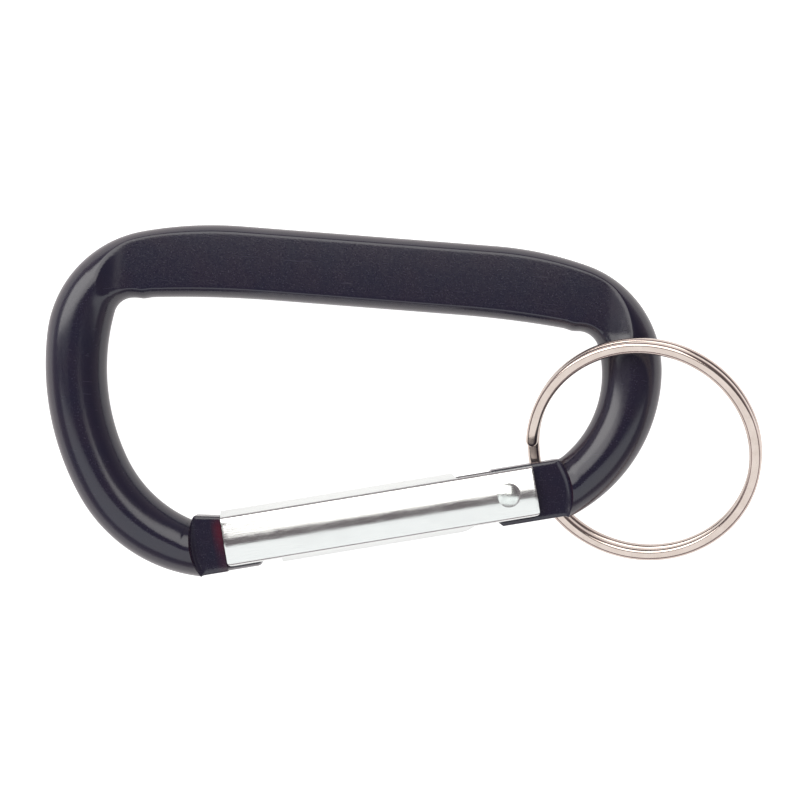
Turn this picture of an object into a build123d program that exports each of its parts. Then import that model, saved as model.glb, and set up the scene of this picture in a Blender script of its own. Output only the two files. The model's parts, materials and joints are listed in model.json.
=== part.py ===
from build123d import *
import math
import os

# Carabiner keyring, in millimetres.
#
# The hook lies flat in the XY plane with its mid-plane at Z = 0. X runs along the straight spine, from
# the wide end (-X) to the narrow end (+X) where the split ring hangs, and +Y points from the gate to the
# spine. The origin is the middle of the opening that the hook closes around.
#
# The gate and the two ends of the rod are laid out in the gate's own frame: its origin is on the rivet,
# U runs along the gate from nose to hinge, V points across it towards the spine, and Z is up.

# ---- the bent rod ---------------------------------------------------------------------------------
ROD_THICKNESS = 7.4
SPINE_OUTER_Y = 21.4
SPINE_INNER_Y = 12.1
# Each bend is (radius, angle turned), walked away from the straight part of the spine.
OUTER_STRAIGHT_X = (-16.1, 16.9)
OUTER_BENDS_LEFT = ((51.0, 14.7), (15.1, 73.3), (35.7, 35.0), (20.6, 54.2))
OUTER_BENDS_RIGHT = ((46.6, 15.1), (14.5, 72.9), (21.5, 59.2))
INNER_STRAIGHT_X = (-10.9, 13.0)
INNER_BENDS_LEFT = ((163.0, 6.6), (2.5, 72.3), (27.1, 41.4), (16.3, 39.2))
INNER_BENDS_RIGHT = ((141.0, 6.5), (2.8, 64.5), (13.8, 64.8), (3.2, 30.0))
# Straight lengths that carry each side of the rod on into its pressed ends.
OUTER_END_LENGTH = 1.3
INNER_END_LENGTH = 5.0
ROD_SECTIONS = 48

# ---- the flat pressed on both sides of the spine --------------------------------------------------
SPINE_THICKNESS = 5.2
SPINE_FLAT_X = (-30.0, 31.0)
SPINE_FLAT_LOW_Y = 11.4
SPINE_RUNOUT_RADIUS = 8.0

# ---- the two pressed ends of the rod, in the gate's frame -----------------------------------------
RIVET_X = 21.0
RIVET_Y = -10.65
GATE_ANGLE = 13.8
TANG_THICKNESS = 5.0
TANG_STEP_RADIUS = 0.9
TANG_OUTER_V = -3.9
TANG_INNER_V = 3.5
TANG_END_U = -1.8
TANG_END_CHAMFER = 0.5
TANG_SHOULDER_U = (7.2, 8.1, 7.6)
TANG_SIDE_GAP = 0.06
NOSE_INNER_V = 3.9
NOSE_SHOULDER_U = (-41.0, -41.7, -41.0)
NOSE_SLOPE_U = -40.3
NOSE_ROOT_GAP = 0.15
NOSE_TIP_U = -32.8
NOSE_TIP_RADIUS = 0.6
NOSE_THICKNESS = 4.6
NOSE_TO_WEB_GAP = 0.04

# ---- the folded sheet gate ------------------------------------------------------------------------
SHEET = 0.6
GATE_U = (-37.15, 3.6)
GATE_WEB_V = 3.92
GATE_FACE_V = 3.05
GATE_EDGE_Z = 3.2
GATE_CROWN = 0.2
NOSE_SKIRT = 3.6
HINGE_SKIRT = 3.4
WEB_END_U = -6.3
FLANGE_U = (-30.2, -6.8)
FLANGE_TAPER = 1.9
SEAM_WIDTH = 1.4
GATE_LARGE_CORNER = 0.8
GATE_SMALL_CORNER = 0.35

# ---- rivet, plunger and spring --------------------------------------------------------------------
RIVET_RADIUS = 1.1
RIVET_CLEARANCE = 0.05
RIVET_HEAD_RADIUS = 1.55
RIVET_HEAD_HEIGHT = 0.8
PLUNGER_HEAD_RADIUS = 2.35
PLUNGER_HEAD_LENGTH = 1.6
PLUNGER_STEM_RADIUS = 1.35
PLUNGER_STEM_LENGTH = 4.5
PLUNGER_EDGE_RADIUS = 0.25
SPRING_WIRE_RADIUS = 0.22
SPRING_COIL_RADIUS = 1.85
SPRING_TURNS = 9
SPRING_STOP_U = -16.0
SPRING_STOP_V = (-3.4, 1.8)
SPRING_STOP_WIDTH = 4.0
END_GAP = 0.03

# ---- the split ring -------------------------------------------------------------------------------
RING_OUTER_RADIUS = 15.3
RING_WIRE_RADIAL = 1.6
RING_WIRE_AXIAL = 1.15
RING_WIRE_ROUNDING = 0.38
RING_TURN_GAP = 0.06
RING_PIVOT = (31.0, -0.1, 0.4)
RING_CENTRE_OFFSET = 7.9
RING_TILT = 25.0
RING_SWING_HEADING = -26.5
RING_END_ANGLE = 205.0
RING_CROSSING = (330.0, 357.0)
RING_WRAP = 688.0
RING_PATH_STEP = 8.0

# ---- worked out from the above --------------------------------------------------------------------
TALL = 20.0
TANG_REACH_V = 4.4
GATE_CROWN_Z = GATE_EDGE_Z + GATE_CROWN
PLUNGER_FACE_U = TANG_END_U - END_GAP
PLUNGER_SHOULDER_U = PLUNGER_FACE_U - PLUNGER_HEAD_LENGTH
GATE_COS = math.cos(math.radians(GATE_ANGLE))
GATE_SIN = math.sin(math.radians(GATE_ANGLE))
# Local X, Y, Z of this plane are U, V, Z.
GATE_FRAME = Plane(origin=(RIVET_X, RIVET_Y, 0), x_dir=(GATE_COS, GATE_SIN, 0), z_dir=(0, 0, 1))
# Local X, Y of this plane are V, Z, and its normal is U, so gate sections are drawn on it.
SECTION_FRAME = Plane(
    origin=(RIVET_X, RIVET_Y, 0), x_dir=(-GATE_SIN, GATE_COS, 0), z_dir=(GATE_COS, GATE_SIN, 0)
)


# ---- hook -----------------------------------------------------------------------------------------
def bend_chain(start, direction, bends, turn_sign, end_length):
    """Tangent arcs laid end to end from a point, all turning the same way, and a straight end."""
    edges = []
    for radius, angle in bends:
        arc = JernArc(start, direction, radius, turn_sign * angle)
        edges.append(arc)
        start = arc @ 1
        direction = arc % 1
    return edges + [Line(start, start + direction * end_length)]


def rod_side(y, straight_x, bends_left, bends_right, end_length):
    """One side of the bent rod in plan, as a wire between the nose and the hinge round the spine."""
    left = bend_chain((straight_x[0], y), (-1, 0), bends_left, 1, end_length)
    right = bend_chain((straight_x[1], y), (1, 0), bends_right, -1, end_length)
    return Wire(left + [Line((straight_x[0], y), (straight_x[1], y))] + right)


def round_rod():
    """The bent rod before any pressing: ellipses as wide as the plan, skinned from nose to hinge."""
    outer = rod_side(SPINE_OUTER_Y, OUTER_STRAIGHT_X, OUTER_BENDS_LEFT, OUTER_BENDS_RIGHT, OUTER_END_LENGTH)
    inner = rod_side(SPINE_INNER_Y, INNER_STRAIGHT_X, INNER_BENDS_LEFT, INNER_BENDS_RIGHT, INNER_END_LENGTH)
    sections = []
    for step in range(ROD_SECTIONS + 1):
        rim = outer @ (step / ROD_SECTIONS)
        throat = inner.distance_to_with_closest_points(rim)[1]
        across = rim - throat
        plane = Plane(origin=(rim + throat) / 2, x_dir=across, z_dir=across.cross(Vector(0, 0, 1)))
        sections.append(plane * Ellipse(across.length / 2, ROD_THICKNESS / 2))
    return loft(sections)


def above_and_below(tool):
    """A cutter and its mirror image under the mid-plane."""
    return tool + mirror(tool, Plane.XY)


def spine_die():
    """What pressing takes off above the spine: a flat that curves up and away at its ends and below."""
    low_x, high_x = SPINE_FLAT_X
    length = high_x - low_x + 2 * SPINE_RUNOUT_RADIUS
    low_y = SPINE_FLAT_LOW_Y - SPINE_RUNOUT_RADIUS
    block = Box(length, TALL, TALL)
    die = Pos((low_x + high_x) / 2, low_y + TALL / 2, (SPINE_THICKNESS + TALL) / 2) * block
    rim = die.faces().sort_by(Axis.Z)[0].edges()
    low_side = rim.filter_by(Axis.X).sort_by(Axis.Y)[0]
    return fillet(rim.filter_by(Axis.Y) + [low_side], SPINE_RUNOUT_RADIUS)


def shoulder_arc(shoulder_u, inner_v, outer_v):
    """The curved line across the rod where a pressed end begins."""
    return ThreePointArc((shoulder_u[0], inner_v), (shoulder_u[1], 0), (shoulder_u[2], outer_v))


def tang_die(shoulder_u, far_u):
    """What pressing takes off above one end of the rod: all past its shoulder, with a rounded step."""
    arc = shoulder_arc(shoulder_u, TANG_REACH_V, -TANG_REACH_V)
    square = Polyline(arc @ 1, (far_u, -TANG_REACH_V), (far_u, TANG_REACH_V), arc @ 0)
    die = extrude(Pos(0, 0, TANG_THICKNESS / 2) * make_face([arc, square]), TALL)
    step = die.edges().group_by(Axis.Z)[0].filter_by(GeomType.CIRCLE)
    return GATE_FRAME * fillet(step, TANG_STEP_RADIUS)


def hinge_tang():
    """The pressed end that the rivet passes through."""
    shoulder = shoulder_arc(TANG_SHOULDER_U, TANG_INNER_V, TANG_OUTER_V)
    sides = Polyline(
        shoulder @ 1,
        (TANG_END_U + TANG_END_CHAMFER, TANG_OUTER_V),
        (TANG_END_U, TANG_OUTER_V + TANG_END_CHAMFER),
        (TANG_END_U, TANG_INNER_V),
        shoulder @ 0,
    )
    return GATE_FRAME * extrude(make_face([shoulder, sides]), TANG_THICKNESS / 2, both=True)


def nose():
    """The pressed end that the gate closes onto: a square shoulder, and a slimmer tongue in the gate."""
    root_u = GATE_U[0] - NOSE_ROOT_GAP
    shoulder = shoulder_arc(NOSE_SHOULDER_U, NOSE_INNER_V, TANG_OUTER_V)
    sides = Polyline(
        shoulder @ 1,
        (root_u, TANG_OUTER_V),
        (root_u, GATE_WEB_V - SHEET),
        (NOSE_SLOPE_U, NOSE_INNER_V),
        shoulder @ 0,
    )
    block = extrude(make_face([shoulder, sides]), TANG_THICKNESS / 2, both=True)
    length = NOSE_TIP_U - root_u
    tongue = Pos(root_u + length / 2, 0, 0) * Box(length, -2 * TANG_OUTER_V, NOSE_THICKNESS)
    tip = tongue.edges().filter_by(Axis.Z).group_by(Axis.X)[-1]
    tongue = GATE_FRAME * fillet(tip, NOSE_TIP_RADIUS)
    room = sheet_section(SHEET + NOSE_TO_WEB_GAP, TANG_REACH_V + 2)
    return GATE_FRAME * block + (tongue & extrude(SECTION_FRAME.offset(root_u) * room, length))


def body():
    """Hook: one bent rod, pressed flat along the spine and at both ends of the gate."""
    hook = round_rod()
    hook -= above_and_below(spine_die())
    hook -= above_and_below(tang_die(NOSE_SHOULDER_U, NOSE_TIP_U))
    hook -= above_and_below(tang_die(TANG_SHOULDER_U, TANG_END_U))
    trim_u = (NOSE_SHOULDER_U[2], TANG_SHOULDER_U[2])
    trim = Pos(sum(trim_u) / 2, TANG_OUTER_V - TALL / 2, 0) * Box(trim_u[1] - trim_u[0], TALL, TALL)
    hook -= GATE_FRAME * trim
    bore = Cylinder(RIVET_RADIUS + RIVET_CLEARANCE, TALL)
    return hook + hinge_tang() + nose() - GATE_FRAME * bore


# ---- gate -----------------------------------------------------------------------------------------
def sheet_section(inset, skirt=None):
    """Section of the folded sheet: bowed web, crowned faces, and a bowed flange or straight skirts."""
    v = GATE_FACE_V
    z = GATE_EDGE_Z
    web = ThreePointArc((v, z), (GATE_WEB_V, 0), (v, -z))
    back = ThreePointArc((v, -z), (0, -GATE_CROWN_Z), (-v, -z))
    front = ThreePointArc((-v, z), (0, GATE_CROWN_Z), (v, z))
    if skirt is None:
        outer_side = ThreePointArc((-v, -z), (-GATE_WEB_V, 0), (-v, z))
    else:
        outer_side = Polyline((-v, -z), (-skirt, -z), (-skirt, z), (-v, z))
    face = make_face([web, back, outer_side, front])
    return offset(face, -inset, kind=Kind.INTERSECTION) if inset else face


def along_gate(section, from_u, to_u):
    """A section drawn across the gate, run along it."""
    return extrude(SECTION_FRAME.offset(from_u) * section, to_u - from_u)


def gate_plan():
    """Plan of the gate: web cut away at the hinge, flange only along the middle, corners rounded."""
    web_reach = GATE_WEB_V + SHEET / 2
    nose_corner = (GATE_U[0], -NOSE_SKIRT)
    hinge_corner = (GATE_U[1], -HINGE_SKIRT)
    hinge_top_corner = (GATE_U[1], GATE_FACE_V)
    web_end_corner = (WEB_END_U, web_reach)
    outline = Polyline(
        nose_corner,
        (FLANGE_U[0], -NOSE_SKIRT),
        (FLANGE_U[0], -web_reach),
        (FLANGE_U[1], -web_reach),
        (FLANGE_U[1], -GATE_WEB_V),
        (FLANGE_U[1] + FLANGE_TAPER, -HINGE_SKIRT),
        hinge_corner,
        hinge_top_corner,
        (WEB_END_U, GATE_FACE_V),
        web_end_corner,
        (GATE_U[0], web_reach),
        nose_corner,
    )
    face = make_face(outline)
    for corner in (nose_corner, hinge_corner, web_end_corner):
        face = fillet(face.vertices().sort_by_distance(corner)[0], GATE_LARGE_CORNER)
    return fillet(face.vertices().sort_by_distance(hinge_top_corner)[0], GATE_SMALL_CORNER)


def spring_stop():
    """The tab folded in from the flanges, which the far end of the spring pushes against."""
    low_v, high_v = SPRING_STOP_V
    tab = Box(SHEET, high_v - low_v, SPRING_STOP_WIDTH)
    return GATE_FRAME * Pos(SPRING_STOP_U - SHEET / 2, (low_v + high_v) / 2, 0) * tab


def gate():
    """Gate: one folded sheet, closed along the middle and open at the nose and round the hinge."""
    tube = along_gate(sheet_section(0) - sheet_section(SHEET), *FLANGE_U)
    seam = Box(FLANGE_U[1] - FLANGE_U[0], TALL, SEAM_WIDTH)
    tube = tube + spring_stop() - GATE_FRAME * Pos(sum(FLANGE_U) / 2, -TALL / 2 - SHEET, 0) * seam
    trough = sheet_section(0, TANG_REACH_V) - sheet_section(SHEET, TANG_REACH_V + 2)
    ends = along_gate(trough, GATE_U[0], FLANGE_U[0]) + along_gate(trough, FLANGE_U[1], GATE_U[1])
    sheet = (tube + ends) & GATE_FRAME * extrude(gate_plan(), TALL / 2, both=True)
    tang_room = Box(TALL, TALL, TANG_THICKNESS + 2 * TANG_SIDE_GAP)
    sheet -= GATE_FRAME * Pos(WEB_END_U + TALL / 2, 0, 0) * tang_room
    return sheet - GATE_FRAME * Cylinder(RIVET_RADIUS, TALL)


# ---- hinge hardware -------------------------------------------------------------------------------
def rivet():
    """Rivet: a plain shank through both faces of the gate, with a domed head on each."""
    top = GATE_CROWN_Z + RIVET_HEAD_HEIGHT
    rise = RIVET_HEAD_HEIGHT
    dome_radius = (RIVET_HEAD_RADIUS**2 + rise**2) / (2 * rise)
    shank = Cylinder(RIVET_RADIUS, 2 * GATE_CROWN_Z)
    dome = Pos(0, 0, top - dome_radius) * Sphere(dome_radius)
    head = dome & Pos(0, 0, GATE_CROWN_Z + TALL / 2) * Box(TALL, TALL, TALL)
    return GATE_FRAME * (shank + above_and_below(head))


def plunger():
    """Plunger: a flat head against the end of the tang, and a stem that guides the spring."""
    head = along_gate(Circle(PLUNGER_HEAD_RADIUS), PLUNGER_SHOULDER_U, PLUNGER_FACE_U)
    stem_end_u = PLUNGER_SHOULDER_U - PLUNGER_STEM_LENGTH
    stem = along_gate(Circle(PLUNGER_STEM_RADIUS), stem_end_u, PLUNGER_SHOULDER_U)
    along = Axis(SECTION_FRAME.origin, SECTION_FRAME.z_dir)
    stem = fillet(stem.edges().filter_by(GeomType.CIRCLE).sort_by(along)[0], PLUNGER_EDGE_RADIUS)
    head = fillet(head.edges().filter_by(GeomType.CIRCLE), PLUNGER_EDGE_RADIUS)
    return head + stem


def spring():
    """Spring: round wire coiled from the plunger's shoulder back to the tab in the gate."""
    seat = END_GAP + SPRING_WIRE_RADIUS
    low_u = SPRING_STOP_U + seat
    length = PLUNGER_SHOULDER_U - seat - low_u
    coil = SECTION_FRAME.offset(low_u) * Helix(length / SPRING_TURNS, length, SPRING_COIL_RADIUS)
    return sweep(Plane(origin=coil @ 0, z_dir=coil % 0) * Circle(SPRING_WIRE_RADIUS), coil, is_frenet=True)


# ---- split ring -----------------------------------------------------------------------------------
def ring_layer_height(wrap):
    """Height of the wire over the ring's middle plane: upper turn, smooth crossing, lower turn."""
    start, end = RING_CROSSING
    share = min(max((wrap - start) / (end - start), 0), 1)
    eased = share * share * (3 - 2 * share)
    return (0.5 - eased) * (RING_WIRE_AXIAL + RING_TURN_GAP)


def ring_wire_line(lift):
    """Centre line of the ring's wire over both turns, raised by lift."""
    radius = RING_OUTER_RADIUS - RING_WIRE_RADIAL / 2
    steps = round(RING_WRAP / RING_PATH_STEP)
    points = []
    for step in range(steps + 1):
        wrap = RING_WRAP * step / steps
        angle = math.radians(RING_END_ANGLE - wrap)
        points.append((radius * math.cos(angle), radius * math.sin(angle), ring_layer_height(wrap) + lift))
    return Wire(Spline(points))


def ring_frame():
    """The tilted plane that the ring lies in, its local X along the line the ring swings about."""
    heading = math.radians(RING_SWING_HEADING)
    tilt = math.radians(RING_TILT)
    swing_line = Vector(math.cos(heading), math.sin(heading), 0)
    normal = Vector(math.sin(heading) * math.sin(tilt), -math.cos(heading) * math.sin(tilt), math.cos(tilt))
    return Plane(origin=Vector(*RING_PIVOT) + swing_line * RING_CENTRE_OFFSET, x_dir=swing_line, z_dir=normal)


def split_ring():
    """Split ring: flat wire wound twice round, with its two ends beside the crossing."""
    path = ring_wire_line(0)
    start = path @ 0
    plane = Plane(origin=start, x_dir=(start.X, start.Y, 0), z_dir=path % 0)
    section = plane * RectangleRounded(RING_WIRE_RADIAL, RING_WIRE_AXIAL, RING_WIRE_ROUNDING)
    return ring_frame() * sweep(section, path, binormal=ring_wire_line(RING_WIRE_AXIAL))


NODES = {
    "hook_body": body,
    "gate": gate,
    "gate_rivet": rivet,
    "spring_plunger": plunger,
    "gate_spring": spring,
    "split_ring": split_ring,
}

os.makedirs("parts", exist_ok=True)
for name, make in NODES.items():
    export_step(make(), f"parts/{name}.step")
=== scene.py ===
import json
import math

import bpy
import numpy as np
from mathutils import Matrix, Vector
from mathutils.geometry import delaunay_2d_cdt


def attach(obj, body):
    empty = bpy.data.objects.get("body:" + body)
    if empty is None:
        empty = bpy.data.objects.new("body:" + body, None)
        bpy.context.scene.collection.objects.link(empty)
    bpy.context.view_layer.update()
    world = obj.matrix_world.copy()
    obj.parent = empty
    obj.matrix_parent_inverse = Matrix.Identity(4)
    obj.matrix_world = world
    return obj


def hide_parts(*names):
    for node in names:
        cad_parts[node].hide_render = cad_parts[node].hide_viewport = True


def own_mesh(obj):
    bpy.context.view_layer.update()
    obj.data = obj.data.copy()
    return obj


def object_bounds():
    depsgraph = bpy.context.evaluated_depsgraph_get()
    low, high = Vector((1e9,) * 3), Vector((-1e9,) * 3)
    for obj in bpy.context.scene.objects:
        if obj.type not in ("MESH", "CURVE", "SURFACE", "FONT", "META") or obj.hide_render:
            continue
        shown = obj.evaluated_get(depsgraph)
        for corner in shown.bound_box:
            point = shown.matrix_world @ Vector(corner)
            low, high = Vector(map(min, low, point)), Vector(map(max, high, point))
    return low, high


# Carabiner keyring. Shapes are worked out in millimetres in the part's own frame (X along the spine, +Y from
# the gate to the spine, +Z out of the front face) and become metres when a mesh is made. Angles are written
# in degrees.
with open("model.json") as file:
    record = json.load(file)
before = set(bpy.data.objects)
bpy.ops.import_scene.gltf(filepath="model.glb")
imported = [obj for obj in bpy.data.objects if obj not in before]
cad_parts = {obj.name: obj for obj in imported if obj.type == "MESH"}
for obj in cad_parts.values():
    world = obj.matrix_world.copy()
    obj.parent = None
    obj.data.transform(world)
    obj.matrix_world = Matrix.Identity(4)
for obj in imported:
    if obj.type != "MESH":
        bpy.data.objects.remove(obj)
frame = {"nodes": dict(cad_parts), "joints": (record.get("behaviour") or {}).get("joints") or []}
CAD_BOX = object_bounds()
JOINTS = {joint["name"]: joint for joint in frame["joints"]}
MM = 0.001
CREASE_ANGLE = math.radians(32.0)
DRILL_REACH = 8.0
DRILL_DEGREES = 7.5
CORNER_POINTS = 8
# Sections stand at these angles round a rounded tip, counted from its point.
TIP_ANGLES = np.radians([8, 20, 35, 50, 70, 90])

# ---- the bent rod ---------------------------------------------------------------------------------
ROD_HALF = 3.7
SPINE_OUTER_Y = 21.4
SPINE_INNER_Y = 12.1
# Each bend is (radius, degrees turned), walked away from the straight part of the spine.
OUTER_STRAIGHT_X = (-16.1, 16.9)
OUTER_BENDS_LEFT = ((51.0, 14.7), (15.1, 73.3), (35.7, 35.0), (20.6, 54.2))
OUTER_BENDS_RIGHT = ((46.6, 15.1), (14.5, 72.9), (21.5, 59.2))
INNER_STRAIGHT_X = (-10.9, 13.0)
INNER_BENDS_LEFT = ((163.0, 6.6), (2.5, 72.3), (27.1, 41.4), (16.3, 39.2))
INNER_BENDS_RIGHT = ((141.0, 6.5), (2.8, 64.5), (13.8, 64.8), (3.2, 30.0))
# A straight piece past the last bend carries each side beyond its shoulder.
END_LENGTH = 3.0
CHAIN_STEP = 0.02
STATION_STEP = 0.4
QUADRANT_POINTS = 26
# A section's sides follow a superellipse: an exponent of 2 is round, and a higher one is squarer.
ROUND_SIDES = 2.0
# Round a section, points crowd within a small angle of the flat's edge, once the flat is deep enough.
CROWD_SHARE = 8.0
CROWD_ANGLE = 0.05
CROWD_DEPTH = 0.3
CROWD_SAMPLES = 400
# The height of a flat depends on where a section meets it, so a section is worked out in a few passes.
SECTION_PASSES = 4
# Keeps a ratio just short of 1, where the outline would stand on end.
NEARLY_ALL = 0.999

# ---- pressed flats --------------------------------------------------------------------------------
SPINE_FLAT_HALF = 2.6
SPINE_FLAT_X = (-30.0, 31.0)
SPINE_FLAT_LOW_Y = 11.4
SPINE_RUNOUT = 8.0
SPINE_SIDES = 2.35
# The rod's sides turn as square as the spine's over these stretches of X, left and right, and of Y.
SPINE_LEFT_X = (-34.0, -26.0)
SPINE_RIGHT_X = (35.0, 27.0)
SPINE_RISE_Y = (6.0, 12.0)
PRESS_MARKS_X = (-28.1, 27.7)
PRESS_MARKS_LOW_Y = 9.4
PRESS_MARK_DEPTH = 0.16
PRESS_MARK_HALF = 0.7
TANG_HALF = 2.5
TANG_STEP = 0.9
SQUARE_SIDES = 11.0
# How sharply a flat meets the sides, along the rod and on its pressed ends.
EDGE_SHARPNESS = 80.0
BLOCK_EDGE_SHARPNESS = 20.0

# ---- rod ends, in the gate's frame: U from nose to hinge, V towards the spine ---------------------
GATE_ANGLE = math.radians(13.8)
GATE_ALONG = np.array([math.cos(GATE_ANGLE), math.sin(GATE_ANGLE)])
GATE_ACROSS = np.array([-math.sin(GATE_ANGLE), math.cos(GATE_ANGLE)])
RIVET_XY = np.array(JOINTS["gate_hinge"]["pos_m"][:2]) / MM
OUTER_V = -3.9
NOSE_SHOULDER_U = -41.0
NOSE_BULGE = -0.7
NOSE_INNER_V = 3.9
NOSE_SLOPE_U = -40.3
NOSE_ROOT_U = -37.3
NOSE_ROOT_V = 3.32
TONGUE_V = (-3.9, 3.2)
TONGUE_TIP_U = -32.8
TONGUE_HALF = 2.3
TONGUE_SIDES = 2.6
TONGUE_TIP_RADIUS = 0.6
HINGE_SHOULDER_U = 7.3
HINGE_BULGE = 0.9
HINGE_INNER_V = 3.5
HINGE_END_U = -1.8
HINGE_CHAMFER = 0.5
END_ROUNDING = 0.15
# Past its shoulder, a pressed end reaches its own widths and its squared sides over these lengths.
END_SETTLING = 0.5
END_SQUARING = 0.35
# Its sections stand close together down the step and further apart along the flat.
STEP_STATIONS = (0.012, 0.05, 0.1, 0.17, 0.26, 0.38, 0.52, 0.7, 0.9, 1.15, 1.5)
FLAT_STATIONS_FROM = 2.0
FLAT_STATION_STEP = 0.8
TONGUE_STATIONS = 8
SHOULDER_BLEND = 6.0
BORE_RADIUS = 1.15

# ---- gate: one folded sheet -----------------------------------------------------------------------
SHEET = 0.6
GATE_U = (-37.15, 3.6)
GATE_HALF_WIDTH = 3.92
GATE_RIDGE_Z = 3.5
GATE_FACE_TILT = math.radians(7.0)
GATE_RIDGE_RADIUS = 7.0
GATE_RIDGE_SHIFT = 0.35
GATE_BEND_RADIUS = 0.65
GATE_WEB_TILT = math.radians(62.5)
GATE_WEB_END_U = -6.3
GATE_WEB_SCOOP = 0.7
FLANGE_U = (-30.2, -6.8)
FLANGE_TAPER = 1.9
SEAM_HALF = 0.7
LIP_PAST_BEND = 0.1
GATE_CORNER = 0.8
GATE_SMALL_CORNER = 0.35
WEB_END_CORNER = 0.3
FLANGE_ROOT_CORNER = 0.1
FLANGE_CORNER = 0.15
FLANGE_TAPER_CORNER = 0.3
SHEET_EDGE_ROUNDING = 0.08
SHEET_EDGE_ANGLE = math.radians(50.0)
STOP_U = -16.0
STOP_V = (-3.1, 1.8)
STOP_HALF_WIDTH = 2.0
STOP_EDGE = 0.1
# Spacings of the unfolded sheet's points: round its outline, along the gate and across it, and the margin
# between the outline and the points inside it.
OUTLINE_STEP = 0.3
GRID_STEP_U = 0.5
GRID_STEP_S = 0.35
GRID_LEAST_ROWS = 6
GRID_CLEARANCE = 0.2
FOLD_STEP = 0.01

# ---- rivet, spring --------------------------------------------------------------------------------
RIVET_RADIUS = 1.1
RIVET_HEAD_RADIUS = 1.55
RIVET_HEAD_TOP = 4.0
# From the edge of the head's dome in to the shank, as radius and depth below the gate's ridge.
RIVET_RIM = ((RIVET_HEAD_RADIUS + 0.02, 0.06), (RIVET_HEAD_RADIUS - 0.05, 0.12), (RIVET_RADIUS, 0.15))
RIVET_DOME_ROWS = 14
RIVET_CROWN_TILT = 0.02
RIVET_DEGREES = 6.0
SPRING_WIRE = 0.22
SPRING_COIL = 1.85
SPRING_TURNS = 9.5
# The coil opens out over this many turns at each end; a closed turn's pitch is a share of an open turn's.
SPRING_OPENING = 2.5
SPRING_CLOSED_PITCH = 0.02144
SPRING_TURN_STATIONS = 28
SPRING_WIRE_DEGREES = 36.0
SPRING_SEAT = 0.25
PLUNGER_SHOULDER_U = -3.43

# ---- split ring -----------------------------------------------------------------------------------
RING_OUTER = 15.3
RING_RADIAL = 1.58
RING_AXIAL = 1.26
RING_ROUNDING = 0.58
RING_TURN_GAP = 0.06
RING_PIVOT = np.array(JOINTS["ring_swing"]["pos_m"]) / MM
RING_LINE = np.array(JOINTS["ring_swing"]["axis"])
RING_CENTRE_OFFSET = 7.9
RING_TILT = math.radians(25.0)
RING_END_ANGLE = 210.0
# Degrees wound from the wire's front end: the crossing to the lower turn, and the whole wire.
RING_CROSSING = (330.0, 357.0)
RING_WRAP = 688.0
RING_STATION_DEGREES = 2.0
RING_END_TAPER = 0.7
RING_TIP_HEIGHT = 0.6


# ---- shared helpers -------------------------------------------------------------------------------
def smooth_step(value, low, high):
    """0 up to low, 1 from high on, and a smooth ramp between. Low may be the greater of the two."""
    share = np.clip((value - low) / (high - low), 0, 1)
    return share * share * (3 - 2 * share)


def blend(first, second, share):
    """The first at share 0, the second at share 1, and in proportion between."""
    return first + (second - first) * share


def circle(step):
    """Directions all the way round, one every step degrees."""
    turn = np.radians(np.arange(0, 360, step))
    return np.column_stack([np.cos(turn), np.sin(turn)])


def level_circle(centre, radius, z, step):
    """Points round a level circle, one every step degrees."""
    ring = centre + radius * circle(step)
    return np.column_stack([ring, np.full(len(ring), z)])


def gate_to_plan(u, v):
    """Points of the gate's frame as X, Y."""
    return RIVET_XY + np.multiply.outer(u, GATE_ALONG) + np.multiply.outer(v, GATE_ACROSS)


def gate_to_space(u, v, z):
    """Points of the gate's frame as X, Y, Z."""
    return np.column_stack([gate_to_plan(np.asarray(u), np.asarray(v)), z])


def mesh_object(name, points, faces):
    """A smooth-shaded mesh from points in millimetres."""
    mesh = bpy.data.meshes.new(name)
    mesh.from_pydata((np.asarray(points) * MM).tolist(), [], faces)
    mesh.validate()
    mesh.update()
    piece = bpy.data.objects.new(name, mesh)
    bpy.context.scene.collection.objects.link(piece)
    smooth(piece)
    return piece


def smooth(piece):
    """Smooth shading, with a crease only where the surface really turns a corner."""
    piece.data.shade_smooth()
    piece.data.set_sharp_from_angle(angle=CREASE_ANGLE)


def bake(piece):
    """Turns the piece's modifiers into its mesh."""
    graph = bpy.context.evaluated_depsgraph_get()
    made = bpy.data.meshes.new_from_object(piece.evaluated_get(graph))
    piece.modifiers.clear()
    piece.data = made
    smooth(piece)


def tube_faces(rows, columns):
    """Quads between consecutive closed rows of points, with both ends capped."""
    faces = []
    for row in range(rows - 1):
        for column in range(columns):
            beside = (column + 1) % columns
            here, above = row * columns, (row + 1) * columns
            faces.append((here + column, here + beside, above + beside, above + column))
    faces.append(tuple(reversed(range(columns))))
    faces.append(tuple((rows - 1) * columns + column for column in range(columns)))
    return faces


def swept(name, rows):
    """A mesh through closed rows of points, with both ends capped."""
    return mesh_object(name, np.concatenate(rows), tube_faces(len(rows), len(rows[0])))


def drill(piece, centre, radius):
    """Bores a round hole along Z right through the piece."""
    ends = [level_circle(centre, radius, z, DRILL_DEGREES) for z in (-DRILL_REACH, DRILL_REACH)]
    cutter = swept("cutter", ends)
    cut = piece.modifiers.new("bore", "BOOLEAN")
    cut.operation = "DIFFERENCE"
    cut.solver = "EXACT"
    cut.object = cutter
    bake(piece)
    bpy.data.objects.remove(cutter)


def fit_piece(piece, body, node, material):
    """Puts a finished piece in place of its CAD node, riding on its body."""
    piece.data.materials.clear()
    piece.data.materials.append(material)
    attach(piece, body)
    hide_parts(node)


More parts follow.
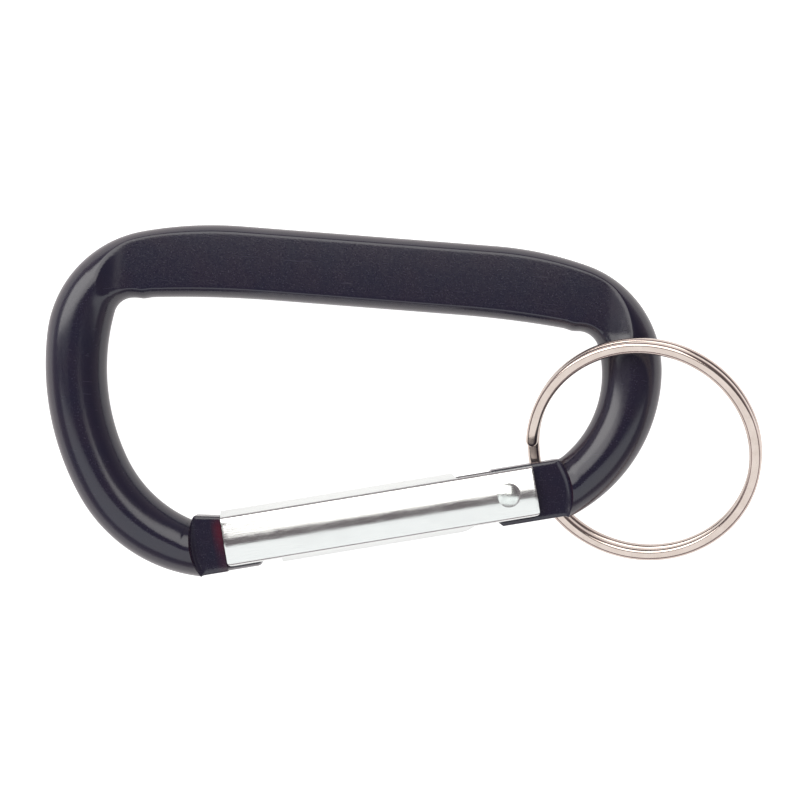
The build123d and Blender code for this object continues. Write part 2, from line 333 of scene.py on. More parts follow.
# ---- hook -----------------------------------------------------------------------------------------
def bend_chain(start, heading, bends, turn_sign):
    """Points along tangent arcs laid end to end, all turning the same way, and a straight end."""
    point = np.array(start, float)
    points = []
    for radius, angle in bends:
        steps = math.ceil(radius * math.radians(angle) / CHAIN_STEP)
        headings = heading + turn_sign * math.radians(angle) * np.arange(1, steps + 1) / steps
        centre = point + turn_sign * radius * np.array([-math.sin(heading), math.cos(heading)])
        arc = centre - turn_sign * radius * np.column_stack([-np.sin(headings), np.cos(headings)])
        points.append(arc)
        point, heading = arc[-1], headings[-1]
    ahead = np.arange(CHAIN_STEP, END_LENGTH, CHAIN_STEP)
    points.append(point + np.outer(ahead, [math.cos(heading), math.sin(heading)]))
    return np.concatenate(points)


def rod_side(y, straight_x, bends_left, bends_right):
    """One side of the bent rod in plan, from the nose round the spine to the hinge."""
    left = bend_chain((straight_x[0], y), math.pi, bends_left, 1)
    right = bend_chain((straight_x[1], y), 0.0, bends_right, -1)
    x = np.arange(straight_x[0], straight_x[1], CHAIN_STEP)
    middle = np.column_stack([x, np.full_like(x, y)])
    return np.concatenate([left[::-1], middle, right])


def between_shoulders(side):
    """The stretch of a rod side from the nose's shoulder to the hinge's shoulder."""
    u = (side - RIVET_XY) @ GATE_ALONG
    half = len(side) // 2
    first = np.argmax(u[:half] <= NOSE_SHOULDER_U)
    last = half + np.argmax(u[half:][::-1] >= HINGE_SHOULDER_U)
    return side[first : len(side) - (last - half)]


def along(side):
    """Distance along a side at each of its points."""
    return np.concatenate([[0], np.cumsum(np.linalg.norm(np.diff(side, axis=0), axis=1))])


def rod_stations():
    """Matching points on the outer and the inner side of the rod, shoulder to shoulder."""
    outer = between_shoulders(rod_side(SPINE_OUTER_Y, OUTER_STRAIGHT_X, OUTER_BENDS_LEFT, OUTER_BENDS_RIGHT))
    inner = between_shoulders(rod_side(SPINE_INNER_Y, INNER_STRAIGHT_X, INNER_BENDS_LEFT, INNER_BENDS_RIGHT))
    outer_at, inner_at = along(outer), along(inner)
    at = np.linspace(0, outer_at[-1], round(outer_at[-1] / STATION_STEP))
    rim = np.column_stack([np.interp(at, outer_at, outer[:, axis]) for axis in (0, 1)])
    nearest = [np.argmin(((inner - point) ** 2).sum(axis=1)) for point in rim]
    matched = inner_at[nearest]
    for ends, far in ((at, 0.0), (at[-1] - at, inner_at[-1])):
        # Towards each end the inner points spread out evenly, so that the last section spans the shoulder.
        edge = np.interp(SHOULDER_BLEND, np.sort(ends), matched[np.argsort(ends)])
        even = blend(far, edge, ends / SHOULDER_BLEND)
        matched = blend(even, matched, smooth_step(ends, 0, SHOULDER_BLEND))
    throat = np.column_stack([np.interp(matched, inner_at, inner[:, axis]) for axis in (0, 1)])
    for mark_x in PRESS_MARKS_X:
        bump = np.exp(-(((throat[:, 0] - mark_x) / PRESS_MARK_HALF) ** 2))
        throat[:, 1] -= PRESS_MARK_DEPTH * bump * (throat[:, 1] > PRESS_MARKS_LOW_Y)
    return at, rim, throat


def spine_flat_height(x, y):
    """Height of the pressed flat over the mid-plane: level along the spine, curving up and away around it."""
    past_end = np.maximum(0, np.maximum(SPINE_FLAT_X[0] - x, x - SPINE_FLAT_X[1]))
    past_side = np.maximum(0, SPINE_FLAT_LOW_Y - y)
    past = np.minimum(np.hypot(past_end, past_side), SPINE_RUNOUT * NEARLY_ALL)
    return SPINE_FLAT_HALF + SPINE_RUNOUT - np.sqrt(SPINE_RUNOUT**2 - past**2)


def tang_flat_height(past_shoulder):
    """Height of a pressed rod end: a rounded step down from its shoulder to the flat."""
    left = np.clip(TANG_STEP - past_shoulder, 0, TANG_STEP)
    return TANG_HALF + TANG_STEP - np.sqrt(TANG_STEP**2 - left**2)


def section_angles(half_width, sides, flat):
    """Directions round one section, crowded where the flat meets the round side."""
    share = min(flat / ROD_HALF, NEARLY_ALL)
    corner = math.atan2(flat, half_width * (1 - share**sides) ** (1 / sides))
    quarter = np.linspace(0, math.pi / 2, CROWD_SAMPLES)
    crowding = CROWD_SHARE * smooth_step(ROD_HALF - flat, 0, CROWD_DEPTH)
    weight = 1 + crowding * np.exp(-(((quarter - corner) / CROWD_ANGLE) ** 2))
    spread = np.concatenate([[0], np.cumsum((weight[1:] + weight[:-1]) / 2)])
    first = np.interp(np.arange(QUADRANT_POINTS) / QUADRANT_POINTS, spread / spread[-1], quarter)
    second = math.pi - np.append(first[1:], math.pi / 2)[::-1]
    upper = np.concatenate([first, second])
    return np.concatenate([upper, upper + math.pi])


def section(half_width, sides, flat_height, flat_middle, sharpness=EDGE_SHARPNESS):
    """Offsets across and heights round one section: a round or squared side under a flat of any height."""
    angle = section_angles(half_width, sides, flat_middle)
    across, up = np.abs(np.cos(angle)), np.abs(np.sin(angle))
    side = ((across / half_width) ** sides + (up / ROD_HALF) ** sides) ** (1 / sides)
    reach = 1 / side
    for _ in range(SECTION_PASSES):
        flat = up / flat_height(reach * np.cos(angle))
        # The nearer of the two limits the reach, and the change from one to the other is eased.
        high, low = np.maximum(side, flat), np.minimum(side, flat)
        reach = 1 / (high * (1 + (low / high) ** sharpness) ** (1 / sharpness))
    return reach * np.cos(angle), reach * np.sin(angle)


def rod_row(at, length, rim, throat):
    """One section of the bent rod: square to it, and curved near each end to match the shoulder there."""
    middle, across = (rim + throat) / 2, rim - throat
    half_width = np.linalg.norm(across) / 2
    across = across / (2 * half_width)
    in_spine = smooth_step(middle[0], *SPINE_LEFT_X) * smooth_step(middle[0], *SPINE_RIGHT_X)
    sides = blend(ROUND_SIDES, SPINE_SIDES, in_spine * smooth_step(middle[1], *SPINE_RISE_Y))

    def flat_height(offset):
        place = middle + np.multiply.outer(offset, across)
        return spine_flat_height(place[..., 0], place[..., 1])

    offset, z = section(half_width, sides, flat_height, float(flat_height(0.0)))
    bow = NOSE_BULGE * (1 - smooth_step(at, 0, SHOULDER_BLEND))
    bow += HINGE_BULGE * (1 - smooth_step(length - at, 0, SHOULDER_BLEND))
    plan = middle + np.outer(offset, across) + np.outer(bow * (1 - (offset / half_width) ** 2), GATE_ALONG)
    return np.column_stack([plan, z])


def block_row(v_low, v_high, sides, shoulder_u, bulge, far_u, share):
    """One section of a pressed rod end, a share of the way from its curved shoulder to its straight end."""
    middle, half_width = (v_low + v_high) / 2, (v_high - v_low) / 2

    def start_u(offset):
        return shoulder_u + bulge * (1 - np.clip(offset / half_width, -1, 1) ** 2)

    def flat_height(offset):
        return tang_flat_height(np.abs(far_u - start_u(offset)) * share)

    offset, z = section(half_width, sides, flat_height, float(flat_height(0.0)), BLOCK_EDGE_SHARPNESS)
    return gate_to_space(blend(start_u(offset), far_u, share), middle - offset, z)


def block_shares(length):
    """Where a pressed end's sections stand, as shares of its length."""
    along_flat = np.linspace(FLAT_STATIONS_FROM, length, max(2, round(length / FLAT_STATION_STEP)))
    return np.concatenate([STEP_STATIONS, along_flat]) / length


def nose_rows(rim_v, throat_v):
    """The nose from its shoulder to the root of its tongue."""
    rows = []
    length = NOSE_ROOT_U - NOSE_SHOULDER_U
    slope = (NOSE_ROOT_V - NOSE_INNER_V) / (NOSE_ROOT_U - NOSE_SLOPE_U)
    for share in block_shares(length):
        past = share * length
        settled = smooth_step(past, 0, END_SETTLING)
        inner_v = NOSE_INNER_V + slope * max(0, NOSE_SHOULDER_U + past - NOSE_SLOPE_U)
        v_low = blend(rim_v, OUTER_V, settled)
        v_high = blend(throat_v, inner_v, settled)
        sides = blend(ROUND_SIDES, SQUARE_SIDES, smooth_step(past, 0, END_SQUARING))
        rows.append(block_row(v_low, v_high, sides, NOSE_SHOULDER_U, NOSE_BULGE, NOSE_ROOT_U, share))
    return rows


def tongue_rows():
    """The slimmer tongue inside the gate, from its root to its rounded tip."""
    length = TONGUE_TIP_U - NOSE_ROOT_U
    body = np.linspace(0, length - TONGUE_TIP_RADIUS, TONGUE_STATIONS)
    tip = length - TONGUE_TIP_RADIUS * (1 - np.cos(TIP_ANGLES[-2::-1]))
    rows = []
    for place in (*body, *tip, length):
        into_tip = max(0, TONGUE_TIP_RADIUS - (length - place))
        drawn_in = TONGUE_TIP_RADIUS - math.sqrt(TONGUE_TIP_RADIUS**2 - into_tip**2)
        half_width = (TONGUE_V[1] - TONGUE_V[0]) / 2 - drawn_in
        # The tip draws in a third as much in height as in width.
        height = TONGUE_HALF - drawn_in / 3
        offset, z = section(half_width, TONGUE_SIDES, lambda offset: np.full_like(offset, height), height)
        rows.append(gate_to_space(np.full_like(offset, NOSE_ROOT_U + place), sum(TONGUE_V) / 2 - offset, z))
    return rows


def hinge_rows(rim_v, throat_v):
    """The hinge tang from its shoulder to its end, with a chamfer on its outer corner."""
    rows = []
    length = HINGE_SHOULDER_U - HINGE_END_U
    last = 1 - np.array([HINGE_CHAMFER, END_ROUNDING, END_ROUNDING / 3, 0]) / length
    for share in (*block_shares(length)[:-1], *last):
        past = share * length
        settled = smooth_step(past, 0, END_SETTLING)
        cut = max(0, HINGE_CHAMFER - (length - past))
        eased = max(0, END_ROUNDING - (length - past))
        v_low = blend(rim_v, OUTER_V, settled) + cut
        v_high = blend(throat_v, HINGE_INNER_V, settled) - eased
        sides = blend(ROUND_SIDES, SQUARE_SIDES, smooth_step(past, 0, END_SQUARING))
        row = block_row(v_low, v_high, sides, HINGE_SHOULDER_U, HINGE_BULGE, HINGE_END_U, share)
        row[:, 2] *= 1 - eased / TANG_HALF
        rows.append(row)
    return rows


def hook(material):
    """Hook: one bent rod with a flat pressed on its spine and a pressed end on each side of the gate."""
    at, rim, throat = rod_stations()
    # V of the rod's two sides at each shoulder.
    end_v = [[(side[end] - RIVET_XY) @ GATE_ACROSS for side in (rim, throat)] for end in (0, -1)]
    rod = [rod_row(place, at[-1], *sides) for place, *sides in zip(at, rim, throat)]
    rows = tongue_rows()[::-1] + nose_rows(*end_v[0])[::-1] + rod + hinge_rows(*end_v[1])
    piece = swept("hook", rows)
    drill(piece, RIVET_XY, BORE_RADIUS)
    fit_piece(piece, "hook", "hook_body", material)


# ---- gate -----------------------------------------------------------------------------------------
def gate_section():
    """The front half of the gate's outline, web to flange, as (length, slope at start, slope at end)."""
    tilt, web = GATE_FACE_TILT, GATE_WEB_TILT
    # The web's radius and the length of each flat face follow from the gate's half width and half height.
    bends_v = GATE_BEND_RADIUS * (math.sin(web) - math.sin(tilt)) + GATE_RIDGE_RADIUS * math.sin(tilt)
    bends_z = GATE_BEND_RADIUS * (math.cos(tilt) - math.cos(web)) + GATE_RIDGE_RADIUS * (1 - math.cos(tilt))
    reaches = [[1 - math.sin(web), math.cos(tilt)], [math.cos(web), math.sin(tilt)]]
    web_radius, face = np.linalg.solve(reaches, [GATE_HALF_WIDTH - bends_v, GATE_RIDGE_Z - bends_z])
    web_length = web_radius * (math.pi / 2 - web)
    bend_length = GATE_BEND_RADIUS * (web - tilt)
    return [
        (web_length, math.pi / 2, web),
        (bend_length, web, tilt),
        (face + GATE_RIDGE_SHIFT, tilt, tilt),
        (GATE_RIDGE_RADIUS * 2 * tilt, tilt, -tilt),
        (face - GATE_RIDGE_SHIFT, -tilt, -tilt),
        (bend_length, -tilt, -web),
        (web_length, -web, -math.pi / 2),
    ]


def fold(spread):
    """V and Z on the gate's outside at a distance round from the middle of its web, front positive."""
    stretches = []
    for length, start, end in gate_section():
        steps = max(2, round(length / FOLD_STEP))
        stretches.append(np.column_stack([np.full(steps, length / steps), np.linspace(start, end, steps)]))
    length, slope = np.concatenate(stretches).T
    at = np.concatenate([[0], np.cumsum(length)])
    v = GATE_HALF_WIDTH - np.concatenate([[0], np.cumsum(length * np.cos(slope))])
    z = np.concatenate([[0], np.cumsum(length * np.sin(slope))])
    return np.interp(np.abs(spread), at, v), np.sign(spread) * np.interp(np.abs(spread), at, z)


def rounded_outline(corners):
    """Points round a closed outline of (u, s, radius) corners, each corner an arc of its own radius."""
    places = np.array([corner[:2] for corner in corners])
    points = []
    for index, (u, s, radius) in enumerate(corners):
        here = np.array([u, s])
        before, after = places[index - 1] - here, places[(index + 1) % len(places)] - here
        before, after = before / np.linalg.norm(before), after / np.linalg.norm(after)
        if not radius:
            points.append(here)
            continue
        half = math.acos(np.clip(before @ after, -1, 1)) / 2
        middle = before + after
        centre = here + middle / np.linalg.norm(middle) * radius / math.sin(half)
        start = here + before * radius / math.tan(half) - centre
        end = here + after * radius / math.tan(half) - centre
        for share in np.linspace(0, 1, CORNER_POINTS):
            point = blend(start, end, share)
            points.append(centre + point / np.linalg.norm(point) * radius)
    return np.array(points)


def evenly_spaced(outline, step):
    """The same closed outline with no stretch longer than step."""
    points = []
    for here, after in zip(outline, np.roll(outline, -1, axis=0)):
        count = max(1, math.ceil(np.linalg.norm(after - here) / step))
        points += [blend(here, after, share) for share in np.arange(count) / count]
    return np.array(points)


def inside(points, outline):
    """Which points lie inside a closed outline."""
    hits = np.zeros(len(points), bool)
    for (x0, y0), (x1, y1) in zip(outline, np.roll(outline, -1, axis=0)):
        crosses = (y0 > points[:, 1]) != (y1 > points[:, 1])
        if crosses.any():
            hits ^= crosses & (points[:, 0] < (x1 - x0) * (points[:, 1] - y0) / (y1 - y0) + x0)
    return hits


def gate_pattern():
    """Outline of the unfolded sheet: U along the gate, and the distance round from the middle of the web."""
    lengths = np.cumsum([part[0] for part in gate_section()])
    plate = lengths[0]
    lip = lengths[5] + LIP_PAST_BEND
    seam = lengths[6] - SEAM_HALF
    half = [
        (GATE_U[0], lip, GATE_CORNER),
        (FLANGE_U[0], lip, FLANGE_ROOT_CORNER),
        (FLANGE_U[0], seam, FLANGE_CORNER),
        (FLANGE_U[1], seam, FLANGE_CORNER),
        (FLANGE_U[1] + FLANGE_TAPER, lip, FLANGE_TAPER_CORNER),
        (GATE_U[1], lip, GATE_CORNER),
        (GATE_U[1], plate, GATE_SMALL_CORNER),
        (GATE_WEB_END_U, plate, WEB_END_CORNER),
    ]
    scoop = [(GATE_WEB_END_U - GATE_WEB_SCOOP, 0.0, 0.0)]
    other = [(u, -s, radius) for u, s, radius in reversed(half)]
    return rounded_outline(half + scoop + other)


def gate_sheet():
    """The outside of the gate: the unfolded pattern filled with a grid, then folded."""
    # The pattern is filled while it is stretched across the folds, so that its triangles lie along them.
    stretch = 4.0
    outline = evenly_spaced(gate_pattern(), OUTLINE_STEP) * (1, stretch)
    marks = [0.0]
    for length, _, _ in gate_section():
        steps = max(GRID_LEAST_ROWS, math.ceil(length / GRID_STEP_S))
        marks += (marks[-1] + length * np.arange(1, steps + 1) / steps).tolist()
    spread = np.array(sorted({round(sign * mark, 6) for mark in marks for sign in (-1, 1)})) * stretch
    grid_u, grid_s = np.meshgrid(np.arange(GATE_U[0] + GRID_STEP_U / 2, GATE_U[1], GRID_STEP_U), spread)
    grid = np.column_stack([grid_u.ravel(), grid_s.ravel()])
    grid = grid[inside(grid, outline)]
    gap = np.array([np.min(np.hypot(*(outline - point).T)) for point in grid])
    points = np.concatenate([outline, grid[gap > GRID_CLEARANCE]])
    count = len(outline)
    edges = [(index, (index + 1) % count) for index in range(count)]
    flat, _, faces, *_ = delaunay_2d_cdt([Vector(point) for point in points], edges, [], 1, 1e-6)
    flat = np.array([tuple(point) for point in flat])
    faces = [tuple(reversed(face)) for face in faces]
    v, z = fold(flat[:, 1] / stretch)
    return mesh_object("gate_shell", gate_to_space(flat[:, 0], v, z), faces)


def add_spring_stop(piece):
    """The tab folded in from the flanges, joined into the gate."""
    rows = []
    for depth, inset in ((0, STOP_EDGE), (STOP_EDGE, 0), (SHEET - STOP_EDGE, 0), (SHEET, STOP_EDGE)):
        low, high = STOP_V[0] + inset, STOP_V[1] - inset
        side = STOP_HALF_WIDTH - inset
        u = np.full(4, STOP_U - SHEET + depth)
        rows.append(gate_to_space(u, [low, high, high, low], [-side, -side, side, side]))
    tab = swept("tab", rows)
    with bpy.context.temp_override(active_object=piece, selected_editable_objects=[piece, tab]):
        bpy.ops.object.join()


def gate(material):
    """Gate: the folded sheet given its thickness, with eased cut edges, holes for the rivet and its tab."""
    piece = gate_sheet()
    thick = piece.modifiers.new("thickness", "SOLIDIFY")
    thick.thickness = SHEET * MM
    thick.offset = -1
    thick.use_even_offset = True
    eased = piece.modifiers.new("eased_edges", "BEVEL")
    eased.width = SHEET_EDGE_ROUNDING * MM
    eased.segments = 2
    eased.limit_method = "ANGLE"
    eased.angle_limit = SHEET_EDGE_ANGLE
    bake(piece)
    drill(piece, RIVET_XY, RIVET_RADIUS)
    add_spring_stop(piece)
    smooth(piece)
    fit_piece(piece, "gate", "gate", material)


# ---- rivet and spring -----------------------------------------------------------------------------
def rivet(material):
    """Rivet: a shank through the gate and the tang, and a domed head on each side."""
    rise = RIVET_HEAD_TOP - GATE_RIDGE_Z
    dome = (RIVET_HEAD_RADIUS**2 + rise**2) / (2 * rise)
    tilts = np.linspace(RIVET_CROWN_TILT, math.asin(RIVET_HEAD_RADIUS / dome), RIVET_DOME_ROWS)
    head = [(dome * math.sin(tilt), RIVET_HEAD_TOP - dome * (1 - math.cos(tilt))) for tilt in tilts]
    head += [(radius, GATE_RIDGE_Z - depth) for radius, depth in RIVET_RIM]
    profile = [(radius, -z) for radius, z in head] + head[::-1]
    rows = [level_circle(RIVET_XY, radius, z, RIVET_DEGREES) for radius, z in profile]
    piece = swept("gate_rivet_heads", rows)
    fit_piece(piece, "gate", "gate_rivet", material)


def spring(material):
    """Spring: a coil with closed ends, from the gate's tab to the plunger, which presses it shorter."""
    low_u = STOP_U + SPRING_SEAT
    high_u = PLUNGER_SHOULDER_U - SPRING_SEAT
    turns = np.linspace(0, SPRING_TURNS, round(SPRING_TURNS * SPRING_TURN_STATIONS) + 1)
    opening = smooth_step(turns, 0, SPRING_OPENING)
    closing = smooth_step(turns, SPRING_TURNS - SPRING_OPENING, SPRING_TURNS)
    pitch = SPRING_CLOSED_PITCH + opening - closing
    u = low_u + (high_u - low_u) * np.cumsum(pitch) / pitch.sum()
    angle = 2 * math.pi * turns
    centre = np.column_stack([u, SPRING_COIL * np.cos(angle), SPRING_COIL * np.sin(angle)])
    ahead = np.gradient(centre, axis=0)
    ahead /= np.linalg.norm(ahead, axis=1)[:, None]
    outward = np.column_stack([np.zeros_like(u), np.cos(angle), np.sin(angle)])
    aside = np.cross(ahead, outward)
    wire = SPRING_WIRE * circle(SPRING_WIRE_DEGREES)
    rows = [gate_to_space(*(middle + wire @ sides).T) for middle, *sides in zip(centre, outward, aside)]
    piece = swept("gate_spring_coil", rows)
    fit_piece(piece, "gate", "gate_spring", material)
    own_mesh(piece)


# ---- split ring -----------------------------------------------------------------------------------
def ring_wire_section():
    """Radial and axial offsets round the wire: a rectangle with rounded corners."""
    half_radial, half_axial = RING_RADIAL / 2 - RING_ROUNDING, RING_AXIAL / 2 - RING_ROUNDING
    points = []
    for corner, (side, level) in enumerate(((1, 1), (-1, 1), (-1, -1), (1, -1))):
        for angle in np.radians(corner * 90 + np.linspace(0, 90, CORNER_POINTS)):
            radial = side * half_radial + RING_ROUNDING * math.cos(angle)
            points.append((radial, level * half_axial + RING_ROUNDING * math.sin(angle)))
    return np.array(points)


def split_ring(material):
    """Split ring: wire wound nearly twice round, with its two ends rounded off beside the crossing."""
    radius = RING_OUTER - RING_RADIAL / 2
    # The ring's plane holds its line and a second direction, tilted up out of the part's mid-plane.
    sideways = np.cross([0, 0, 1], RING_LINE)
    second = sideways * math.cos(RING_TILT) + np.array([0, 0, 1]) * math.sin(RING_TILT)
    normal = np.cross(RING_LINE, second)
    centre = RING_PIVOT + RING_LINE * RING_CENTRE_OFFSET
    end_turn = math.degrees(RING_END_TAPER / radius)
    tip = end_turn * (1 - np.cos(TIP_ANGLES))
    body = np.arange(2 * end_turn, RING_WRAP - 1.5 * end_turn, RING_STATION_DEGREES)
    outline = ring_wire_section()
    rows = []
    for wrap in (*tip, *body, *(RING_WRAP - tip[::-1])):
        angle = math.radians(RING_END_ANGLE - wrap)
        out = RING_LINE * math.cos(angle) + second * math.sin(angle)
        level = (0.5 - smooth_step(wrap, *RING_CROSSING)) * (RING_AXIAL + RING_TURN_GAP)
        into_tip = max(0, 1 - min(wrap, RING_WRAP - wrap) / end_turn)
        width = math.sqrt(1 - into_tip**2)
        height = blend(RING_TIP_HEIGHT, 1, width)
        middle = centre + out * radius + normal * level
        rows.append(middle + (outline * (width, height)) @ np.array([out, normal]))
    piece = swept("split_ring_wire", rows)
    fit_piece(piece, "ring", "split_ring", material)


# ---- plunger --------------------------------------------------------------------------------------
def plunger(material):
    """Plunger: the CAD's own piece, which needs nothing but its material."""
    piece = frame["nodes"]["spring_plunger"]
    piece.data.materials.clear()
    piece.data.materials.append(material)


# ---- materials ------------------------------------------------------------------------------------
# Colours are linear; a pair is the two ends of a soft, cloudy change.
VIOLET_BLACKS = ((0.010, 0.0095, 0.026, 1), (0.014, 0.0105, 0.026, 1))
# Painted sheen: the black turns lighter and brown where the surface turns away from the eye.
PAINTED_GLANCING_SHEEN = (0.04, 0.016, 0.028, 1)
# Painted reflection: the red tint stands for the gate mirrored in the flat beside the gate's end.
PAINTED_REFLECTION_RED = (0.085, 0.006, 0.018, 1)
PALE_GREY = (0.10, 0.095, 0.12, 1)
SHEET_ALUMINIUMS = ((0.80, 0.81, 0.80, 1), (0.88, 0.89, 0.875, 1))
RIVET_ALUMINIUMS = ((0.76, 0.79, 0.77, 1), (0.90, 0.94, 0.91, 1))
NICKELS = ((0.70, 0.59, 0.53, 1), (0.76, 0.65, 0.59, 1))
WORN_NICKEL = (0.52, 0.44, 0.40, 1)
SPRING_STEELS = ((0.40, 0.39, 0.38, 1), (0.52, 0.49, 0.45, 1))
PLUNGER_STEELS = ((0.50, 0.49, 0.48, 1), (0.64, 0.63, 0.61, 1))
# Most of a noise lies between the wide pair of values; the close pair gives it more contrast.
WIDE = (0.3, 0.7)
CLOSE = (0.35, 0.65)
# Metal turns from sloping to level as the upright part of its normal passes over this stretch.
LEVEL_RISE = (0.985, 0.999)
# A painted red reflection of the gate fades in over the first stretch of each pair and out again over the
# second.
REFLECTION_U = ((NOSE_ROOT_U - 1.4, NOSE_ROOT_U - 0.4), (NOSE_ROOT_U, NOSE_ROOT_U + 1.0))
REFLECTION_V = ((-2.0, 1.0), (2.0, 3.4))


class Shader:
    """A node material built up a node at a time, with textures laid out in millimetres."""

    def __init__(self, name):
        self.material = bpy.data.materials.new(name)
        self.material.use_nodes = True
        self.tree = self.material.node_tree
        self.surface = self.tree.nodes["Principled BSDF"]
        place = self.tree.nodes.new("ShaderNodeTexCoord").outputs["Object"]
        self.place = self.vector("MULTIPLY", place, (1 / MM,) * 3)

    def put(self, socket, value):
        """Feeds a socket from another node's socket or with a plain value."""
        if isinstance(value, bpy.types.NodeSocket):
            self.tree.links.new(value, socket)
        else:
            socket.default_value = value

    def vector(self, operation, first, second):
        """An operation on two vectors."""
        node = self.tree.nodes.new("ShaderNodeVectorMath")
        node.operation = operation
        self.put(node.inputs[0], first)
        self.put(node.inputs[1], second)
        return node.outputs[0]

    def maths(self, operation, first, second=0.0):
        """An operation on one or two numbers."""
        node = self.tree.nodes.new("ShaderNodeMath")
        node.operation = operation
        self.put(node.inputs[0], first)
        self.put(node.inputs[1], second)
        return node.outputs[0]

    def product(self, *values):
        """All the numbers multiplied together."""
        result = values[0]
        for value in values[1:]:
            result = self.maths("MULTIPLY", result, value)
        return result

    def along_gate(self):
        """Places turned so that X runs along the gate."""
        node = self.tree.nodes.new("ShaderNodeVectorRotate")
        node.rotation_type = "Z_AXIS"
        self.put(node.inputs["Vector"], self.place)
        self.put(node.inputs["Angle"], -GATE_ANGLE)
        return node.outputs[0]

    def noise(self, scale, place=None, stretch=(1, 1, 1), detail=4.0):
        """Noise with features of 1 / scale millimetres, made finer or coarser along each axis by stretch."""
        node = self.tree.nodes.new("ShaderNodeTexNoise")
        self.put(node.inputs["Vector"], self.vector("MULTIPLY", place or self.place, stretch))
        self.put(node.inputs["Scale"], scale)
        self.put(node.inputs["Detail"], detail)
        return node.outputs["Fac"]

    def ramp(self, value, low, high, to_low=0.0, to_high=1.0):
        """Value mapped from low..high on to another range, and held at its ends."""
        node = self.tree.nodes.new("ShaderNodeMapRange")
        for socket, number in zip(node.inputs[:5], (value, low, high, to_low, to_high)):
            self.put(socket, number)
        return node.outputs[0]

    def mix(self, share, first, second):
        """The first colour at share 0 and the second at share 1."""
        node = self.tree.nodes.new("ShaderNodeMix")
        node.data_type = "RGBA"
        self.put(node.inputs["Factor"], share)
        self.put(node.inputs[6], first)
        self.put(node.inputs[7], second)
        return node.outputs[2]

    def facing(self):
        """0 where the surface faces the eye and 1 where it turns away."""
        return self.tree.nodes.new("ShaderNodeLayerWeight").outputs["Facing"]

    def rise(self):
        """The upright part of the surface's normal, in the part's frame: 1 where the surface lies level."""
        parts = self.tree.nodes.new("ShaderNodeSeparateXYZ")
        self.put(parts.inputs[0], self.tree.nodes.new("ShaderNodeTexCoord").outputs["Normal"])
        return self.maths("ABSOLUTE", parts.outputs[2])

    def from_rivet(self):
        """Distances from the rivet along the gate and across it."""
        parts = self.tree.nodes.new("ShaderNodeSeparateXYZ")
        self.put(parts.inputs[0], self.along_gate())
        u = self.maths("SUBTRACT", parts.outputs[0], float(RIVET_XY @ GATE_ALONG))
        v = self.maths("SUBTRACT", parts.outputs[1], float(RIVET_XY @ GATE_ACROSS))
        return u, v

    def between(self, value, rising, falling, low=0.0):
        """1 between two ramps, falling to 0 after them and to low before them."""
        return self.product(self.ramp(value, *rising, low, 1.0), self.ramp(value, *falling, 1.0, 0.0))

    def bump(self, height, depth):
        """Raises the surface by height times depth millimetres."""
        node = self.tree.nodes.new("ShaderNodeBump")
        self.put(node.inputs["Height"], height)
        self.put(node.inputs["Distance"], depth * MM)
        self.put(self.surface.inputs["Normal"], node.outputs[0])

    def set(self, **values):
        """Sets the surface's inputs, named with underscores for spaces."""
        for name, value in values.items():
            self.put(self.surface.inputs[name.replace("_", " ")], value)


def anodised_black():
    """Glossy violet-black anodising, pitted on the flats, with a painted red reflection of the gate beside
    the gate's end.
    """
    shader = Shader("anodised_black")
    cloud = shader.noise(0.25, detail=3)
    grain = shader.noise(7.0, stretch=(0.5, 1, 1), detail=6)
    u, v = shader.from_rivet()
    flat = shader.ramp(shader.rise(), *LEVEL_RISE)
    violet = shader.mix(shader.ramp(cloud, *CLOSE), *VIOLET_BLACKS)
    # Painted sheen: the colour turns lighter and brown where the surface turns away from the eye.
    edge = shader.mix(shader.ramp(shader.facing(), 0.3, 0.9), violet, PAINTED_GLANCING_SHEEN)
    specks = shader.product(shader.ramp(shader.noise(5.5, detail=3), 0.6, 0.72), flat, 0.35)
    scuffs = shader.ramp(shader.noise(1.6, stretch=(0.12, 1.6, 1), detail=2), 0.68, 0.72)
    # Painted reflection: a red tint on the flat beside the gate's end, standing for the gate mirrored there.
    gate_reflection = shader.product(shader.between(u, *REFLECTION_U), shader.between(v, *REFLECTION_V, low=0.25), 0.8)
    pale = shader.maths("MAXIMUM", specks, shader.product(scuffs, 0.12))
    colour = shader.mix(pale, shader.mix(gate_reflection, edge, PAINTED_REFLECTION_RED), PALE_GREY)
    rough = shader.maths("SUBTRACT", shader.ramp(grain, *WIDE, 0.15, 0.25), shader.product(flat, 0.08))
    shader.bump(shader.product(grain, shader.ramp(flat, 0, 1, 0.3, 1.0)), 0.004)
    shader.set(Base_Color=colour, Roughness=rough, IOR=1.65, Metallic=0.0)
    return shader.material


def rolled_aluminium():
    """Bright rolled sheet: fine lines along the gate, shallow pits and soft, duller clouds."""
    shader = Shader("rolled_aluminium")
    place = shader.along_gate()
    lines = shader.noise(9.0, place, (0.06, 1, 1), detail=5)
    cloud = shader.noise(0.5, place, (0.4, 1, 1), detail=3)
    pits = shader.noise(14.0, detail=2)
    colour = shader.mix(shader.ramp(lines, *WIDE), *SHEET_ALUMINIUMS)
    rough = shader.maths("ADD", shader.ramp(lines, *WIDE, 0.1, 0.2), shader.ramp(cloud, *WIDE, -0.03, 0.04))
    shader.bump(shader.maths("ADD", lines, shader.product(pits, 0.3)), 0.0025)
    shader.set(Base_Color=colour, Roughness=rough, Metallic=1.0)
    return shader.material


def peened_aluminium():
    """The rivet's struck heads: bright, with shallow dents."""
    shader = Shader("peened_aluminium")
    dents = shader.noise(0.8, detail=1)
    fine = shader.noise(9.0, detail=4)
    colour = shader.mix(shader.ramp(dents, *CLOSE), *RIVET_ALUMINIUMS)
    shader.bump(shader.maths("ADD", dents, shader.product(fine, 0.1)), 0.05)
    shader.set(Base_Color=colour, Roughness=shader.ramp(fine, *WIDE, 0.2, 0.3), Metallic=1.0)
    return shader.material


